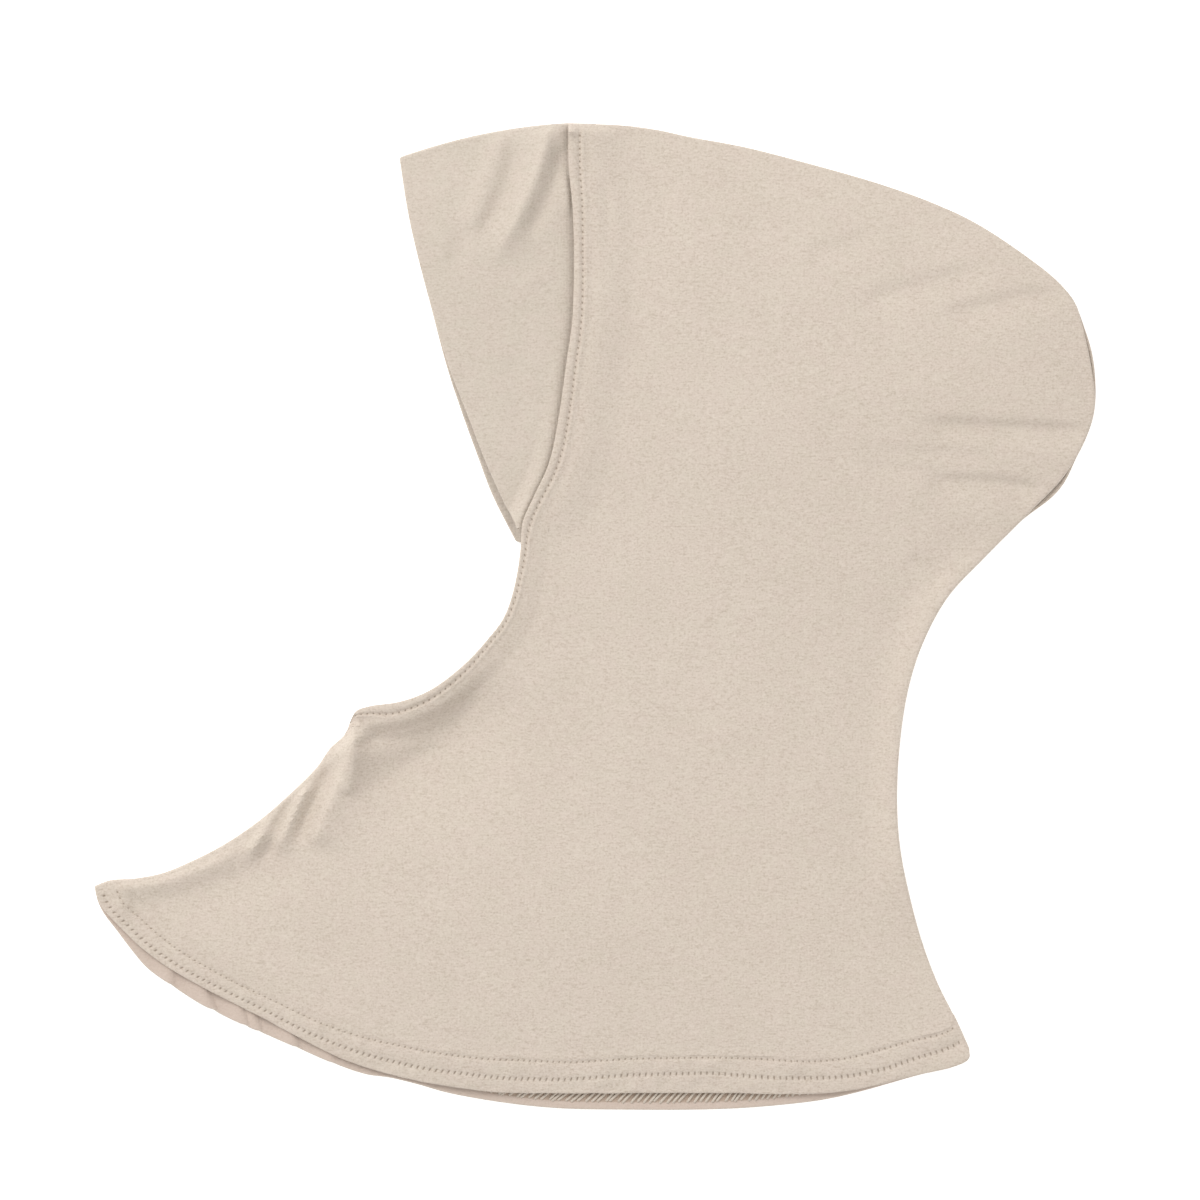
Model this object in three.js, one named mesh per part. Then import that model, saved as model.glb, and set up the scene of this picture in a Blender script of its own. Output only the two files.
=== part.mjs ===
import * as THREE from "three";

// A full-cover jersey underscarf cap, lying flat as it is folded down its middle: face to -X,
// crown to +Y, left side up. Two side panels are sewn together from the crown down to the back of
// the neck and folded into each other at the front of the neck. A doubled forehead band is sewn
// into the upper part of the face opening, a narrow hem goes round the face, and a wide hem closes
// the neck cape. Inside is one hollow, open at the face and at the neck hem. Sizes are millimetres.

// Head and neck, seen from the side. "Face seam" is the crown end of the edge that frames the face.
const headHeight = 226; // crown to chin
const headDepth = 201; // face seam to the back of the head
const backOfHeadDrop = 103; // crown to the level where the head is deepest
const napeDrop = 253; // crown to the level of the nape
const napeDepth = 126; // face seam to the nape
const chinReach = 82; // chin ahead of the face seam

// Neck cape
const capeDrop = 143; // chin to the lowest point of the neck hem
const capeFrontReach = 180.2; // front corner of the neck hem ahead of the face seam
const capeBackReach = 153; // back corner of the neck hem behind the face seam
const frontRise = 80; // front corner above the lowest point of the hem
const backRise = 19; // back corner above the lowest point of the hem

// Forehead band
const bandReach = 63.5; // its upper front corner ahead of the face seam
const bandSlope = 13; // that corner below the crown
const bandDrop = 155; // crown to the lower end of the band
const bandTopBow = 2.6; // how far its top fold bows up
const bandTuck = 3; // how far it reaches under the face hem
const bandRamp = 12; // how far from the face hem it comes level with the cloth round it

// Cloth
const clothWall = 1; // one layer of jersey
const bandWall = 1.4; // two layers, folded at the front edge
const hemWall = 1.6; // two layers, stitched flat
const faceHemWidth = 10.5;
const chinHemWidth = 5.8; // the face hem where it turns over the fold at the chin
const neckHemWidth = 14.5;
const seamGap = 0.3; // between pieces that are sewn together

// How the cap lies
const hollowHeight = 14; // the upper layer's outer face above the table, where it stands highest
const riseLength = 22; // how far in from a closed edge the upper layer has mostly risen
const rimWidth = 7; // how far in from a closed edge the lower layer still curls up
const crownSpread = 24; // how far along the seam the thick fold at the crown lifts it
const foldGap = 0.4; // left open inside a hem where it turns over a fold
const hemPeek = 7; // the lower layer past the upper one at the neck hem
const bandPeek = 3; // the lower layer past the upper one at the forehead band
const backPeek = 2; // the lower layer past the upper one at the back seam
const creaseWidth = 10; // the usual half width of a crease
const creaseHeight = 3; // the usual height of a crease

// Fineness of the faceted solids
const capeSteps = 13; // rows from the neck hem to the chin
const headSteps = 26; // rows from the chin to the crown
const acrossSteps = 30; // columns from the front to the back
const lowerShare = 0.75; // the same for the lower layer, as a share of the upper one's
const bandSteps = 18; // down one side of the band
const bandColumns = 10; // across it
const hemColumns = 2; // across a hem
const turnSteps = 5; // round a fold

// The edge that frames the face, from the crown to the chin.
const faceEdgeTable = [
  { down: 0, ahead: 0 },
  { down: 0.146, ahead: -0.023 },
  { down: 0.297, ahead: -0.023 },
  { down: 0.474, ahead: 0.037 },
  { down: 0.603, ahead: 0.125 },
  { down: 0.687, ahead: 0.222 },
  { down: 0.754, ahead: 0.236 },
  { down: 0.839, ahead: 0.329 },
  { down: 0.921, ahead: 0.523 },
  { down: 0.968, ahead: 0.755 },
  { down: 0.976, ahead: 0.9 },
  { down: 0.986, ahead: 0.975 },
  { down: 1, ahead: 1 },
];

// The fold down the front of the neck, from the chin to the front corner of the hem.
const frontFoldTable = [
  { down: 0, ahead: 0 },
  { down: 0.15, ahead: 0.074 },
  { down: 0.39, ahead: 0.202 },
  { down: 0.669, ahead: 0.412 },
  { down: 0.837, ahead: 0.607 },
  { down: 0.95, ahead: 0.8 },
  { down: 1, ahead: 1 },
];

// The seam over the crown to the back of the head.
const crownTable = [
  { down: 0, back: 0 },
  { down: 0.039, back: 0.211 },
  { down: 0.15, back: 0.462 },
  { down: 0.298, back: 0.692 },
  { down: 0.446, back: 0.838 },
  { down: 0.593, back: 0.93 },
  { down: 0.646, back: 0.956 },
  { down: 0.75, back: 0.978 },
  { down: 1, back: 1 },
];
const crownCorner = 5; // the row where the crown turns into the back of the head

// The seam from the back of the head in to the nape.
const napeTable = [
  { down: 0.167, back: 0.89 },
  { down: 0.268, back: 0.74 },
  { down: 0.379, back: 0.52 },
  { down: 0.48, back: 0.315 },
  { down: 0.581, back: 0.175 },
  { down: 0.75, back: 0.055 },
  { down: 1, back: 0 },
];

// The seam from the nape out to the back corner of the hem.
const capeBackTable = [
  { down: 0.29, back: 0.055 },
  { down: 0.6, back: 0.356 },
  { down: 0.88, back: 0.76 },
  { down: 1, back: 1 },
];

// The neck hem, from its front corner to its back corner: along its span, and down from that corner
// towards its lowest point.
const neckHemFrontTable = [
  { along: 0, down: 0 },
  { along: 0.009, down: 0.105 },
  { along: 0.026, down: 0.195 },
  { along: 0.0925, down: 0.418 },
  { along: 0.204, down: 0.66 },
  { along: 0.332, down: 0.89 },
  { along: 0.424, down: 0.974 },
  { along: 0.531, down: 0.99 },
  { along: 0.68, down: 0.985 },
];
const neckHemBackTable = [
  { along: 0.82, down: 1 },
  { along: 0.9, down: 0.76 },
  { along: 0.943, down: 0.56 },
  { along: 0.985, down: 0.38 },
  { along: 1, down: 0 },
];

// The front edge of the forehead band, from its upper corner to its lower end.
const bandEdgeTable = [
  { down: 0, back: 0 },
  { down: 0.179, back: 0.092 },
  { down: 0.393, back: 0.26 },
  { down: 0.612, back: 0.462 },
  { down: 0.8, back: 0.689 },
  { down: 1, back: 1 },
];

// How high the upper layer stands at each level, from the neck hem up to the crown.
const liftTable = [
  { level: 0, lift: 0.68 },
  { level: 0.18, lift: 0.86 },
  { level: 0.38, lift: 0.84 },
  { level: 0.62, lift: 0.94 },
  { level: 0.82, lift: 1 },
  { level: 1, lift: 0.9 },
];

// Where the lower layer shows past the upper one: the middle and half length of each stretch, as
// shares of the edge, and how far it shows, as a share of the usual amount.
const hemPeekTable = [
  { middle: 0.19, half: 0.18, out: 0.95 },
  { middle: 0.35, half: 0.1, out: 0.35 },
  { middle: 0.65, half: 0.27, out: 1.05 },
];
const bandPeekTable = [{ middle: 0.84, half: 0.42, out: 1 }];
const backPeekTable = [
  { middle: 0.39, half: 0.05, out: 0.8 },
  { middle: 0.52, half: 0.07, out: 1 },
];

// Creases of the upper layer: ends as shares across the panel (front to back) and up it (hem to
// crown), then half width and height as shares of the usual ones. A negative height is a valley.
const panelCreases = [
  { name: "chin ridge", u0: 0.03, v0: 0.3, u1: 0.075, v1: 0.17, width: 0.42, height: 0.75 },
  { name: "beside the chin ridge", u0: 0.01, v0: 0.26, u1: 0.03, v1: 0.15, width: 0.42, height: -0.55 },
  { name: "under the chin", u0: 0.05, v0: 0.36, u1: 0.06, v1: 0.5, width: 0.75, height: -0.85 },
  { name: "front of the neck", u0: 0.11, v0: 0.2, u1: 0.1, v1: 0.02, width: 0.7, height: -0.7 },
  { name: "back of the head, upper", u0: 0.74, v0: 0.75, u1: 0.93, v1: 0.76, width: 0.55, height: -0.45 },
  { name: "back of the head, lower", u0: 0.68, v0: 0.68, u1: 0.9, v1: 0.68, width: 0.6, height: -0.55 },
  { name: "crown", u0: 0.55, v0: 0.88, u1: 0.8, v1: 0.9, width: 0.9, height: -0.3 },
];

// Creases of the forehead band: ends as shares across it (front edge to seam) and down it.
const bandCreases = [
  { name: "main fold", u0: 0.9, v0: 0.06, u1: 0.78, v1: 0.3, width: 0.45, height: 1 },
  { name: "valley behind it", u0: 0.99, v0: 0.08, u1: 0.9, v1: 0.28, width: 0.42, height: -0.8 },
  { name: "faint fold", u0: 0.62, v0: 0.14, u1: 0.52, v1: 0.36, width: 0.7, height: 0.35 },
];

const mix = THREE.MathUtils.lerp;
const smooth = THREE.MathUtils.smoothstep;
const point = (x, y) => new THREE.Vector3(x, y, 0);
const smoothCurve = (points) => new THREE.CatmullRomCurve3(points, false, "centripetal");

// Outlines, from the face seam at x = 0 and the chin at y = 0

const crown = point(0, headHeight);
const hemLow = -capeDrop;

const faceEdge = smoothCurve(
  faceEdgeTable.map((row) => point(-row.ahead * chinReach, headHeight * (1 - row.down))),
);

const frontFold = smoothCurve(
  frontFoldTable.map((row) =>
    point(mix(-chinReach, -capeFrontReach, row.ahead), mix(0, hemLow + frontRise, row.down)),
  ),
);

const napeLevel = headHeight - napeDrop;
const nape = point(napeDepth, napeLevel);
const crownPoints = crownTable.map((row) =>
  point(row.back * headDepth, headHeight - row.down * backOfHeadDrop),
);
const backSeam = smoothCurve([
  ...crownPoints,
  ...napeTable.map((row) =>
    point(mix(napeDepth, headDepth, row.back), mix(headHeight - backOfHeadDrop, napeLevel, row.down)),
  ),
  ...capeBackTable.map((row) =>
    point(mix(napeDepth, capeBackReach, row.back), mix(napeLevel, hemLow + backRise, row.down)),
  ),
]);

const neckHem = smoothCurve([
  ...neckHemFrontTable.map((row) =>
    point(mix(-capeFrontReach, capeBackReach, row.along), hemLow + frontRise * (1 - row.down)),
  ),
  ...neckHemBackTable.map((row) =>
    point(mix(-capeFrontReach, capeBackReach, row.along), hemLow + backRise * (1 - row.down)),
  ),
]);

// The share of a curve's length at which it comes nearest to a place.
function shareNearest(curve, place) {
  const points = curve.getSpacedPoints(400);
  const distances = points.map((p) => p.distanceTo(place));
  return distances.indexOf(Math.min(...distances)) / 400;
}

const bandEnd = faceEdge.getPointAt(
  shareNearest(faceEdge, point(-bandReach / 3, headHeight - bandDrop)),
);
const bandCorner = point(-bandReach, headHeight - bandSlope);
const bandEdge = smoothCurve(
  bandEdgeTable.map((row) =>
    point(mix(bandCorner.x, bandEnd.x, row.back), mix(bandCorner.y, bandEnd.y, row.down)),
  ),
);
const bandTop = new THREE.QuadraticBezierCurve3(
  crown,
  crown.clone().lerp(bandCorner, 0.5).add(point(0, 2 * bandTopBow)),
  bandCorner,
);

// The unit vector to the left of the direction of a curve: into the cloth, but out on the back seam.
function inward(curve, share) {
  const along = curve.getTangentAt(share);
  return point(-along.y, along.x);
}

// A bump that is 1 at the middle of each stretch of a table and 0 outside it.
function stretchesAt(table, share) {
  return table.reduce((sum, row) => {
    const away = Math.min(1, Math.abs(share - row.middle) / row.half);
    return sum + row.out * (1 - away * away) ** 2;
  }, 0);
}

// The same edge on the lower layer, moved out where that layer shows past the upper one.
function peeking(curve, table, amount) {
  const points = [];
  for (let i = 0; i <= 60; i++) {
    const share = i / 60;
    const out = inward(curve, share).multiplyScalar(-amount * stretchesAt(table, share));
    points.push(curve.getPointAt(share).add(out));
  }
  return smoothCurve(points);
}

const lowerNeckHem = peeking(neckHem, hemPeekTable, hemPeek);
const lowerBandEdge = peeking(bandEdge, bandPeekTable, bandPeek);
const lowerBackSeam = peeking(backSeam, backPeekTable, -backPeek);

// The places at a given width inside a hemmed edge, by the share of the edge. They start and end on
// the closed edges that the hem turns over, at the given places, and swing to them over a distance.
function insideLine(edge, width, startPlace, endPlace, swing) {
  const length = edge.getLength();
  const startStep = startPlace.clone().sub(edge.getPointAt(0));
  const endStep = endPlace.clone().sub(edge.getPointAt(1));
  return (share) => {
    const step = inward(edge, share).multiplyScalar(width);
    step.lerp(startStep, 1 - smooth(share * length, 0, swing));
    step.lerp(endStep, 1 - smooth((1 - share) * length, 0, swing));
    return edge.getPointAt(share).add(step);
  };
}

const fromStart = (curve, distance) => curve.getPointAt(distance / curve.getLength());
const fromEnd = (curve, distance) => curve.getPointAt(1 - distance / curve.getLength());

function faceLine(width, chinWidth) {
  const [start, end] = [fromStart(backSeam, width), fromStart(frontFold, chinWidth)];
  return insideLine(faceEdge, width, start, end, 2 * faceHemWidth);
}

function neckLine(hem, seam, width) {
  return insideLine(hem, width, fromEnd(frontFold, width), fromEnd(seam, width), 2 * neckHemWidth);
}

// Heights above the table

const closedEdges = [frontFold, backSeam, bandTop].map((curve) => curve.getSpacedPoints(90));

// How far a place is from the nearest edge where the two layers are joined.
function closedDistance(place) {
  const nearest = new THREE.Vector3();
  const segment = new THREE.Line3();
  let best = Infinity;
  for (const points of closedEdges) {
    for (let i = 0; i + 1 < points.length; i++) {
      segment.set(points[i], points[i + 1]).closestPointToPoint(place, true, nearest);
      best = Math.min(best, nearest.distanceTo(place));
    }
  }
  return best;
}

// The height of the upper layer's outer face where nothing holds it down.
function liftAt(place) {
  const level = THREE.MathUtils.clamp((place.y - hemLow) / (headHeight - hemLow), 0, 1);
  const next = Math.max(1, liftTable.findIndex((row) => row.level >= level));
  const [low, high] = [liftTable[next - 1], liftTable[next]];
  return hollowHeight * mix(low.lift, high.lift, smooth(level, low.level, high.level));
}

// The sum of the creases at a place, each a rounded ridge between two ends.
function creasesAt(creases, place) {
  const nearest = new THREE.Vector3();
  return creases.reduce((sum, crease) => {
    new THREE.Line3(crease.start, crease.end).closestPointToPoint(place, true, nearest);
    const away = nearest.distanceTo(place) / (crease.width * creaseWidth);
    return sum + crease.height * creaseHeight * Math.exp(-away * away);
  }, 0);
}

const hemFold = 2 * hemWall + foldGap; // height of a hem where it turns over a fold
const bandFold = 2 * bandWall + foldGap; // height of the band where it turns over its top fold
const bandUnder = hemWall + seamGap; // the band below the face hem
const crownFold = bandFold + 2 * bandUnder; // height of the face hem over the crown, round the band

// The height at which a hem near this place turns over its fold.
function foldHeight(place) {
  const away = place.distanceTo(crown) / crownSpread;
  return mix(hemFold, crownFold, Math.exp(-away * away));
}

// The height of the seam between the two panels.
const seamHeight = (place) => foldHeight(place) / 2;

// The height of the outer face of the upper layer: it rises from the closed edges, with creases.
function upperHeight(place, rimHeight, creases, creaseShare = 1) {
  const distance = closedDistance(place);
  const rise = 1 - Math.exp(-distance / riseLength);
  const crease = creasesAt(creases, place) * creaseShare * smooth(distance, 0, creaseWidth);
  return mix(rimHeight, liftAt(place), rise) + crease;
}

// Closed solids from rows of points

// A sheet of cloth from matching rows of points on its two faces. The rows of a hem that goes all
// the way round come back to the first row.
function clothGeometry(outerRows, innerRows, goesRound = false) {
  const columns = outerRows[0].length;
  const rowCount = outerRows.length;
  const positions = [...outerRows, ...innerRows].flat().flatMap((p) => [p.x, p.y, p.z]);
  const index = [];
  const outer = (row, column) => (row % rowCount) * columns + column;
  const inner = (row, column) => rowCount * columns + outer(row, column);
  const quad = (a, b, c, d) => index.push(a, b, c, a, c, d);
  const steps = goesRound ? rowCount : rowCount - 1;
  for (let r = 0; r < steps; r++) {
    for (let c = 0; c + 1 < columns; c++) {
      quad(outer(r, c), outer(r, c + 1), outer(r + 1, c + 1), outer(r + 1, c));
      quad(inner(r, c), inner(r + 1, c), inner(r + 1, c + 1), inner(r, c + 1));
    }
    quad(outer(r, 0), outer(r + 1, 0), inner(r + 1, 0), inner(r, 0));
    const last = columns - 1;
    quad(outer(r + 1, last), outer(r, last), inner(r, last), inner(r + 1, last));
  }
  if (!goesRound) {
    const top = rowCount - 1;
    for (let c = 0; c + 1 < columns; c++) {
      quad(outer(0, c + 1), outer(0, c), inner(0, c), inner(0, c + 1));
      quad(outer(top, c), outer(top, c + 1), inner(top, c + 1), inner(top, c));
    }
  }
  const geometry = new THREE.BufferGeometry();
  geometry.setAttribute("position", new THREE.Float32BufferAttribute(positions, 3));
  geometry.setIndex(signedVolume(positions, index) > 0 ? index : index.toReversed());
  geometry.computeVertexNormals();
  return geometry;
}

function signedVolume(positions, index) {
  const corner = (i) => new THREE.Vector3().fromArray(positions, 3 * index[i]);
  let volume = 0;
  for (let i = 0; i < index.length; i += 3) {
    volume += corner(i).dot(corner(i + 1).cross(corner(i + 2))) / 6;
  }
  return volume;
}

function gridRows(rows, columns, make) {
  return Array.from({ length: rows + 1 }, (_, r) =>
    Array.from({ length: columns + 1 }, (_, c) => make(c / columns, r / rows)),
  );
}

const raised = (place, height) => new THREE.Vector3(place.x, place.y, height);
const shifted = (rows, height) => rows.map((row) => row.map((p) => raised(p, p.z + height)));

// Side panels

// The places of a panel's grid, between the neck hem below, the seam behind and above, and the
// front fold and the face hem ahead. Its chin row ends at the nape.
function panelPlaces(hem, seam) {
  const faceWidth = faceHemWidth + seamGap;
  const chinWidth = chinHemWidth + seamGap;
  const neckWidth = neckHemWidth + seamGap;
  const faceInside = faceLine(faceWidth, chinWidth);
  const hemInside = neckLine(hem, seam, neckWidth);
  const foldLength = frontFold.getLength();
  const seamLength = seam.getLength();
  const cornerShare = shareNearest(seam, crownPoints[crownCorner]);
  const napeShare = shareNearest(seam, nape);
  const chinShare = capeSteps / (capeSteps + headSteps);
  const left = (v) =>
    v < chinShare
      ? frontFold.getPointAt(mix(1 - neckWidth / foldLength, chinWidth / foldLength, v / chinShare))
      : faceInside(1 - (v - chinShare) / (1 - chinShare));
  const right = (v) =>
    v < chinShare
      ? seam.getPointAt(mix(1 - neckWidth / seamLength, napeShare, v / chinShare))
      : seam.getPointAt(mix(napeShare, cornerShare, (v - chinShare) / (1 - chinShare)));
  const top = (u) => seam.getPointAt(mix(faceWidth / seamLength, cornerShare, u));
  const [bottomLeft, bottomRight, topLeft, topRight] = [hemInside(0), hemInside(1), top(0), top(1)];
  return (u, v) => {
    const between = left(v).lerp(right(v), u).add(hemInside(u).lerp(top(u), v));
    const low = bottomLeft.clone().lerp(bottomRight, u);
    return between.sub(low.lerp(topLeft.clone().lerp(topRight, u), v));
  };
}

// Creases with their ends moved from shares of a surface to places on it.
function placedCreases(creases, places) {
  return creases.map((crease) => ({
    ...crease,
    start: places(crease.u0, crease.v0),
    end: places(crease.u1, crease.v1),
  }));
}

const leftPlaces = panelPlaces(neckHem, backSeam);
const upperCreases = placedCreases(panelCreases, leftPlaces);
const lowerSteps = (steps) => Math.round(steps * lowerShare);

function leftPanelGeometry() {
  const outer = gridRows(capeSteps + headSteps, acrossSteps, (u, v) => {
    const place = leftPlaces(u, v);
    const rim = seamHeight(place) + seamGap / 2 + clothWall;
    return raised(place, upperHeight(place, rim, upperCreases));
  });
  return clothGeometry(outer, shifted(outer, -clothWall));
}

function rightPanelGeometry() {
  const places = panelPlaces(lowerNeckHem, lowerBackSeam);
  const rows = lowerSteps(capeSteps) + lowerSteps(headSteps);
  const outer = gridRows(rows, lowerSteps(acrossSteps), (u, v) => {
    const place = places(u, v);
    const rim = seamHeight(place) - seamGap / 2 - clothWall;
    const curl = Math.max(0, 1 - closedDistance(place) / rimWidth);
    return raised(place, rim * curl * curl);
  });
  return clothGeometry(outer, shifted(outer, clothWall));
}

// Pieces that turn over a fold

// The rows of one side of a turned piece, from its places and the height of its outer face. Its
// first and last rows stand back from the folds, on the straight facet that ends there.
function sideRows(side) {
  const back = (row, next, distance) =>
    row.map((place, c) => place.lerp(next[c], Math.min(0.9, distance / place.distanceTo(next[c]))));
  const rows = gridRows(side.steps, side.columns, side.places);
  if (side.startBack) rows[0] = back(rows[0], rows[1], side.startBack);
  if (side.endBack) rows[side.steps] = back(rows.at(-1), rows.at(-2), side.endBack);
  return rows.map((row, r) =>
    row.map((place, c) => raised(place, side.height(place, c / side.columns, r / side.steps))),
  );
}

// The rows of both faces round a fold, from the last row of one side to the first of the other, by
// way of the places where the fold reaches farthest.
function turnRows(fromRow, toRow, reachRow, wall) {
  const faceRow = (angle, inset) =>
    fromRow.map((from, c) => {
      const middle = from.clone().add(toRow[c]).multiplyScalar(0.5);
      const halfHeight = (from.z - toRow[c].z) / 2;
      const rise = (halfHeight - Math.sign(halfHeight) * inset) * Math.sin(angle);
      const out = raised(reachRow[c], middle.z).sub(middle);
      out.setLength(Math.max(wall / 10, out.length() - inset) * Math.cos(angle));
      return raised(middle.clone().add(out), middle.z + rise);
    });
  const shares = Array.from({ length: turnSteps - 1 }, (_, i) => (i + 1) / turnSteps);
  const angles = shares.map((share) => Math.PI * (0.5 - share));
  return {
    outer: angles.map((angle) => faceRow(angle, 0)),
    inner: angles.map((angle) => faceRow(angle, wall)),
  };
}

// A hem that goes right round an opening: along the upper layer, over the fold at its end, back
// along the lower layer and over the fold at its start.
function hemGeometry(hem) {
  const across = (edge, line) => (u, v) => edge.getPointAt(v).lerp(line(v), u);
  const upperPlaces = across(hem.edge, hem.line);
  const lowerPlaces = across(hem.lowerEdge, hem.lowerLine);
  const ends = { columns: hemColumns, startBack: hem.startHeight / 2, endBack: hem.endHeight / 2 };
  const upper = sideRows({
    ...ends,
    steps: hem.steps,
    places: upperPlaces,
    height: (place) => upperHeight(place, foldHeight(place), upperCreases),
  });
  const lower = sideRows({
    ...ends,
    steps: lowerSteps(hem.steps),
    places: lowerPlaces,
    height: () => 0,
  }).reverse();
  const reach = (v) => gridRows(1, hemColumns, (u) => upperPlaces(u, v))[0];
  const end = turnRows(upper.at(-1), lower[0], reach(1), hemWall);
  const start = turnRows(lower.at(-1), upper[0], reach(0), hemWall);
  return clothGeometry(
    [...upper, ...end.outer, ...lower, ...start.outer],
    [...shifted(upper, -hemWall), ...end.inner, ...shifted(lower, hemWall), ...start.inner],
    true,
  );
}

function neckHemGeometry() {
  return hemGeometry({
    steps: acrossSteps,
    edge: neckHem,
    line: neckLine(neckHem, backSeam, neckHemWidth),
    lowerEdge: lowerNeckHem,
    lowerLine: neckLine(lowerNeckHem, lowerBackSeam, neckHemWidth),
    startHeight: hemFold,
    endHeight: hemFold,
  });
}

function faceHemGeometry() {
  return hemGeometry({
    steps: headSteps,
    edge: faceEdge,
    line: faceLine(faceHemWidth, chinHemWidth),
    lowerEdge: faceEdge,
    lowerLine: faceLine(faceHemWidth, chinHemWidth),
    startHeight: crownFold,
    endHeight: hemFold,
  });
}

// Forehead band

const bandEndShare = shareNearest(faceEdge, bandEnd);
const tuckLine = faceLine(bandTuck, bandTuck);

// The band's share of being held below the face hem, by its distance from the edge of that hem.
const underHem = (away) => 1 - smooth(away, 0, bandRamp);

// A place across the band, from its front edge (u = 0) to its tucked edge (u = 1), and down it, and
// how far it is from the edge of the face hem.
function bandPlace(edge, u, v) {
  const share = v * bandEndShare;
  const seamPlace = faceEdge.getPointAt(share);
  const width = Math.max(seamGap, edge.getPointAt(v).distanceTo(seamPlace));
  const across = u * (width + bandTuck);
  const away = Math.max(0, width - across);
  let place = edge.getPointAt(v).lerp(seamPlace, Math.min(1, across / width));
  if (v === 0) place = bandTop.getPointAt(away / width);
  if (away === 0) place.lerp(tuckLine(share), (across - width) / bandTuck);
  if (v === 0) place.y -= bandUnder * underHem(away);
  return { place, away };
}

function foreheadBandGeometry() {
  const creases = placedCreases(bandCreases, (u, v) => bandPlace(bandEdge, u, v).place);
  const side = (edge, height) => ({
    steps: bandSteps,
    columns: bandColumns,
    startBack: bandFold / 2,
    places: (u, v) => bandPlace(edge, u, v).place,
    height: (place, u, v) => height(place, bandPlace(edge, u, v).away),
  });
  const upper = sideRows(
    side(bandEdge, (place, away) => {
      const rim = mix(bandUnder + bandFold, foldHeight(place), underHem(away));
      return upperHeight(place, rim, creases, 1 - underHem(away / 2)) - bandUnder;
    }),
  ).reverse();
  const lower = sideRows(side(lowerBandEdge, (_, away) => bandUnder * underHem(away)));
  const reach = gridRows(1, bandColumns, (u) => bandPlace(bandEdge, u, 0).place)[0];
  const turn = turnRows(upper.at(-1), lower[0], reach, bandWall);
  return clothGeometry(
    [...upper, ...turn.outer, ...lower],
    [...shifted(upper, -bandWall), ...turn.inner, ...shifted(lower, bandWall)],
  );
}

// The cap

const jersey = new THREE.MeshStandardMaterial({ color: 0xd9cbbd, roughness: 0.92, metalness: 0 });
const jerseyDouble = new THREE.MeshStandardMaterial({ color: 0xdccfc1, roughness: 0.9, metalness: 0 });
const jerseyHem = new THREE.MeshStandardMaterial({ color: 0xd4c6b7, roughness: 0.92, metalness: 0 });

function piece(name, geometry, material) {
  const mesh = new THREE.Mesh(geometry, material);
  mesh.name = name;
  return mesh;
}

const cap = new THREE.Group();
cap.add(
  piece("left_panel", leftPanelGeometry(), jersey),
  piece("right_panel", rightPanelGeometry(), jersey),
  piece("forehead_band", foreheadBandGeometry(), jerseyDouble),
  piece("face_hem", faceHemGeometry(), jerseyHem),
  piece("neck_hem", neckHemGeometry(), jerseyHem),
);

// The origin is on the table, at the middle of the floor that the cap covers.
const covered = new THREE.Box3().setFromObject(cap);
const middle = covered.getCenter(new THREE.Vector3());
cap.position.set(-middle.x, -middle.y, -covered.min.z);

export default cap;
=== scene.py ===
import math

import bpy
import numpy as np
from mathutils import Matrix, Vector, noise


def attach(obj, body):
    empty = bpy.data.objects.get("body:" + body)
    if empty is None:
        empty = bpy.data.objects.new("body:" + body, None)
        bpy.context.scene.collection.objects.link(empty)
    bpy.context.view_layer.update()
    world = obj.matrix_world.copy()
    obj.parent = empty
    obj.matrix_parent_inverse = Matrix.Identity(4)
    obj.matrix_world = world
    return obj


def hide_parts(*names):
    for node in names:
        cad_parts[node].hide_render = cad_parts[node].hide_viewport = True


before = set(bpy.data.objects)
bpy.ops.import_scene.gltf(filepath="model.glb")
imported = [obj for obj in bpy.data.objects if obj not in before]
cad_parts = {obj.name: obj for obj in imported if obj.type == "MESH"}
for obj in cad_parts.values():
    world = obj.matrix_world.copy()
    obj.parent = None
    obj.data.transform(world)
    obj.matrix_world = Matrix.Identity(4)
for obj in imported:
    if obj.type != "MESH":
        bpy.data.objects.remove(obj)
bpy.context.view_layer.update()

# Left panel
# The upper of the two side panels of the hood and neck cape, cut from one layer of fine viscose
# jersey. It is sewn to the right panel over the crown and down the back, and folded into it at the
# front of the neck. It lies loose over the hollow, held up by the folds round it.

mm = 0.001  # sizes below are millimetres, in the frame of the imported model
cloth_wall = 0.9
rim_round = 0.9  # radius, seen from above, to which the cloth rolls at a closed edge
rim_height = 3.8  # thickness of the two layers where they are joined
crown_rim_height = 7.0  # the same at the crown end of the face hem
crown_spread = 24
nape_rise, nape_width = 4.2, 8  # how much more the seam inside holds up along the nape
settled = 4  # how far in from a closed edge folds and unevenness reach their full height
rise_length = 45  # how far in from a closed edge the cloth has mostly risen
neck_rest = 3.7  # height of the outer face where the neck hems lie on each other
neck_settle = 42  # how far in from the neck edge the cloth has mostly left the lower layer
face_hem_width = 10.5
chin_hem_width = 5.8
neck_hem_width = 14.5
crown = np.array([-10.7, 187.2])

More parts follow.
